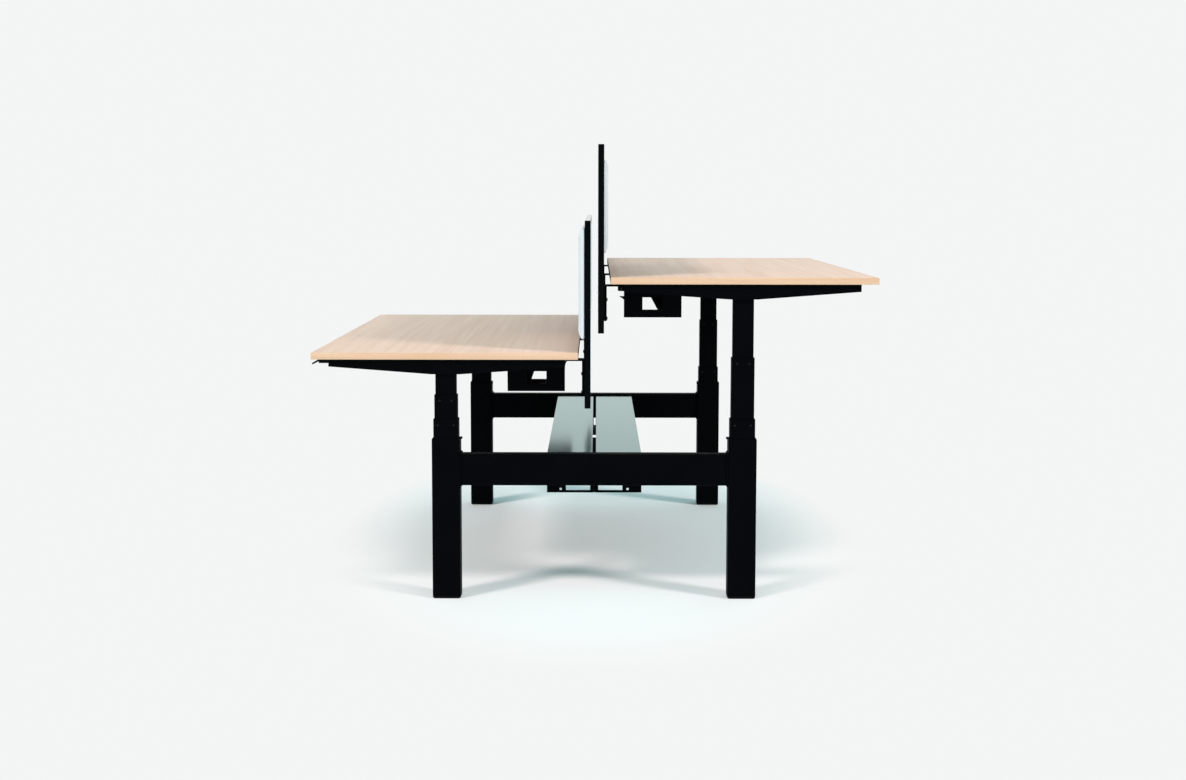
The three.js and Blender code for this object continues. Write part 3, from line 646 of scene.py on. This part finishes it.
def soften(node, width):
    weld = node.modifiers.new("weld", "WELD")
    weld.merge_threshold = MERGE_WITHIN
    edge = node.modifiers.new("edge", "BEVEL")
    edge.width = width
    edge.segments = 2
    edge.limit_method = "ANGLE"
    edge.angle_limit = SHARP_FROM
    edge.harden_normals = True


NODE_FINISHES = (
    ("trough_lid", LID_BLACK, 0),
    ("trough", POWDER_BLACK, 0),
    ("cable_tray", POWDER_BLACK, 0),
    ("lift_drive", DRIVE_STEEL, 0),
    ("control_box", PLASTIC_BLACK, 0.5 * MM),
    ("handset", PLASTIC_BLACK, 0),
    ("foot", PLASTIC_BLACK, 0.5 * MM),
    ("bracket", POWDER_BLACK, 0.8 * MM),
    ("screen", BOARD_BLACK, 0.6 * MM),
    ("", POWDER_BLACK, 0.6 * MM),
)
for name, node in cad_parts.items():
    if node.hide_render:
        continue
    finish, width = next(row[1:] for row in NODE_FINISHES if row[0] in name)
    node.data.materials.clear()
    node.data.materials.append(finish)
    if width:
        soften(node, width)


# Studio: a pale floor that runs into a background of its own colour, two front lamps and a soft fill

BACKDROP = (0.9, 0.917, 0.909, 1.0)
FLOOR_PAPER = (0.9, 0.91, 0.902, 1.0)
FLOOR_SIZE = 120
FLOOR_DROP = 0.5 * MM
FILL = (0.635, 0.96, 1.0, 1.0)
FILL_STRENGTH = 0.758

# The paper shows its own shading in an oval round the feet, which fades out between two radii
OVAL_SCALE = (1.25, 0.75, 1.0)
OVAL_SHIFT = (0, -0.19, 0)
FADE_FROM, FADE_TO = 0.65, 1.25

# Each lamp: name, azimuth from the near end towards the right, elevation, colour, strength; in degrees
LAMPS = (
    ("left_lamp", -50, 41, (1.0, 0.835, 0.831), 1.63),
    ("right_lamp", 60, 33, (1.0, 0.883, 0.88), 1.76),
)
LAMP_SPREAD = 10

# Camera: place in metres, angles in radians, lens and sensor in millimetres
CAMERA_AT = (0.0062, -4.9338, 1.215)
CAMERA_DIP = 0.0789
CAMERA_YAW = 0.0024
CAMERA_ROLL = 0.0011
CAMERA_SHIFT = -0.0676
SENSOR_WIDTH = 36.0
LENS = 43.27
FAR_CLIP = 200.0


def floor_paper():
    """Plain paper that the camera sees as clean background away from the feet."""
    paper, shader = start_finish("floor_paper", Roughness=1.0, Specular_IOR_Level=0.0)
    shader.inputs["Base Color"].default_value = FLOOR_PAPER
    clean = add_node(paper, "ShaderNodeEmission", {"Color": BACKDROP, "Strength": 1.0})
    away = add_node(paper, "ShaderNodeVectorMath", {}, operation="LENGTH")
    oval = add_node(paper, "ShaderNodeMapping", {"Scale": OVAL_SCALE, "Location": OVAL_SHIFT})
    ground = add_node(paper, "ShaderNodeTexCoord", {})
    wire(paper, ground.outputs["Object"], oval.inputs["Vector"])
    wire(paper, oval.outputs["Vector"], away.inputs[0])
    fade = add_node(paper, "ShaderNodeMapRange", {"From Min": FADE_FROM, "From Max": FADE_TO})
    fade.interpolation_type = "SMOOTHSTEP"
    wire(paper, away.outputs["Value"], fade.inputs["Value"])
    sight = add_node(paper, "ShaderNodeLightPath", {})
    masked = add_node(paper, "ShaderNodeMath", {}, operation="MULTIPLY")
    wire(paper, fade.outputs["Result"], masked.inputs[0])
    wire(paper, sight.outputs["Is Camera Ray"], masked.inputs[1])
    blend = add_node(paper, "ShaderNodeMixShader", {})
    wire(paper, masked.outputs[0], blend.inputs[0])
    wire(paper, shader.outputs[0], blend.inputs[1])
    wire(paper, clean.outputs[0], blend.inputs[2])
    wire(paper, blend.outputs[0], paper.node_tree.nodes["Material Output"].inputs["Surface"])
    return paper


def lay_floor():
    deselect()
    bpy.ops.mesh.primitive_plane_add(size=FLOOR_SIZE, location=(0, 0, -FLOOR_DROP))
    floor = bpy.context.object
    floor.name = "studio_floor"
    floor.data.materials.append(floor_paper())
    return floor


def hang_lamp(name, azimuth, elevation, colour, strength):
    lamp = bpy.data.lights.new(name, "SUN")
    lamp.color = colour
    lamp.energy = strength
    lamp.angle = math.radians(LAMP_SPREAD)
    holder = bpy.data.objects.new(name, lamp)
    bpy.context.scene.collection.objects.link(holder)
    a = math.radians(azimuth)
    e = math.radians(elevation)
    towards = Vector((math.sin(a) * math.cos(e), -math.cos(a) * math.cos(e), math.sin(e)))
    holder.rotation_euler = towards.to_track_quat("Z", "Y").to_euler()


def light_fill():
    """A soft fill from all round, which camera and mirror rays see as the backdrop."""
    world = bpy.data.worlds.new("studio")
    bpy.context.scene.world = world
    world.use_nodes = True
    world.node_tree.nodes.clear()
    fill = add_node(world, "ShaderNodeBackground", {"Color": FILL, "Strength": FILL_STRENGTH})
    shown = add_node(world, "ShaderNodeBackground", {"Color": BACKDROP})
    ray = add_node(world, "ShaderNodeLightPath", {})
    seen = ray.outputs["Is Camera Ray"]
    for other in ("Is Glossy Ray", "Is Transmission Ray"):
        either = add_node(world, "ShaderNodeMath", {}, operation="MAXIMUM")
        wire(world, seen, either.inputs[0])
        wire(world, ray.outputs[other], either.inputs[1])
        seen = either.outputs[0]
    mix = add_node(world, "ShaderNodeMixShader", {})
    wire(world, seen, mix.inputs[0])
    wire(world, fill.outputs[0], mix.inputs[1])
    wire(world, shown.outputs[0], mix.inputs[2])
    out = add_node(world, "ShaderNodeOutputWorld", {})
    wire(world, mix.outputs[0], out.inputs["Surface"])


def set_camera():
    eye = bpy.data.cameras.new("camera")
    eye.sensor_fit = "HORIZONTAL"
    eye.sensor_width = SENSOR_WIDTH
    eye.lens = LENS
    eye.shift_y = CAMERA_SHIFT
    eye.clip_end = FAR_CLIP
    camera = bpy.data.objects.new("camera", eye)
    camera.location = CAMERA_AT
    dip = Matrix.Rotation(math.pi / 2 - CAMERA_DIP, 4, "X")
    aim = Matrix.Rotation(CAMERA_YAW, 4, "Z") @ dip @ Matrix.Rotation(CAMERA_ROLL, 4, "Z")
    camera.rotation_euler = aim.to_euler()
    bpy.context.scene.collection.objects.link(camera)
    bpy.context.scene.camera = camera


floor = lay_floor()
for lamp in LAMPS:
    hang_lamp(*lamp)
light_fill()
set_camera()
bpy.context.scene.view_settings.view_transform = "Standard"
